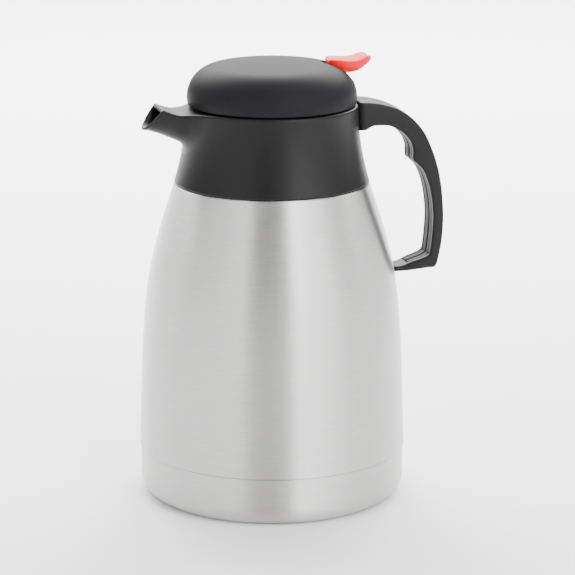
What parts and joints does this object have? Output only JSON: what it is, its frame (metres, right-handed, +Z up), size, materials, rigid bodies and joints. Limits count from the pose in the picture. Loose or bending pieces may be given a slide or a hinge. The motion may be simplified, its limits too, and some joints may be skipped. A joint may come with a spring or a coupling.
{
  "type": "insulated serving jug",
  "caption": "Double-walled steel serving jug with a moulded collar, pouring spout and loop handle, and a screw-in domed stopper whose thumb lever lifts a sprung valve.",
  "frame": {"origin": "centre of the flat foot, on the jug's axis", "axes": "+Z up along the jug's axis, +X towards the handle, -X towards the spout"},
  "size_m": [0.1557, 0.135, 0.2225],
  "materials": {
    "jacket_steel": "fine circumferential brushing",
    "inner_steel": "plain drawn steel",
    "seal_bead": "satin",
    "collar_plastic": "fine moulded grain",
    "handle_plastic": "fine moulded grain",
    "insert_plastic": "satin",
    "lid_plastic": "soft satin grain",
    "stopper_plastic": "plain moulded",
    "lever_plastic": "satin red",
    "seal_silicone": "translucent grey",
    "valve_plastic": "natural",
    "small_steel": "bright"
  },
  "bodies": {
    "jug": {"outer_shell": "jacket_steel", "base_cup": "jacket_steel", "shell_bottom": "inner_steel", "getter": "inner_steel", "vacuum_seal": "seal_bead", "inner_flask": "inner_steel", "collar": "collar_plastic", "collar_gasket": "seal_silicone", "lock_ring": "inner_steel", "handle": "handle_plastic", "handle_insert": "insert_plastic", "handle_screw": "small_steel"},
    "seal_ring": {"stopper_gasket": "seal_silicone"},
    "stopper": {"stopper_body": "stopper_plastic", "stopper_base": "stopper_plastic", "upper_oring": "seal_silicone", "stem_guide": "valve_plastic", "stem_seal": "seal_silicone", "lid_dome": "lid_plastic", "dome_screw_1": "small_steel", "dome_screw_2": "small_steel", "dome_screw_3": "small_steel", "lever_pin": "small_steel", "valve_spring": "small_steel"},
    "lever": {"lever": "lever_plastic"},
    "valve": {"valve_stem": "valve_plastic", "stem_cap": "valve_plastic", "valve_disc": "valve_plastic", "valve_seal": "seal_silicone"}
  },
  "joints": [
    {"name": "stopper_lift", "type": "slide", "parent": "jug", "child": "seal_ring", "axis": [0, 0, 1], "range_m": [0, 0.0451]},
    {"name": "stopper_turn", "type": "hinge", "parent": "seal_ring", "child": "stopper", "pos_m": [0, 0, 0.199], "axis": [0, 0, 1], "range_deg": [0, 1080]},
    {"name": "lever_press", "type": "hinge", "parent": "stopper", "child": "lever", "pos_m": [0.024, 0, 0.2105], "axis": [0, 1, 0], "range_deg": [0, 8], "stiffness_Nm_per_rad": 0.6, "springref_deg": -8.59},
    {"name": "valve_lift", "type": "slide", "parent": "stopper", "child": "valve", "axis": [0, 0, 1], "range_m": [0, 0.0034], "deforming": ["valve_spring"]}
  ],
  "couplings": [
    {"joint": "stopper_lift", "follows": "stopper_turn", "m_per_rad": 0.0023873},
    {"joint": "valve_lift", "follows": "lever_press", "m_per_rad": 0.024}
  ]
}
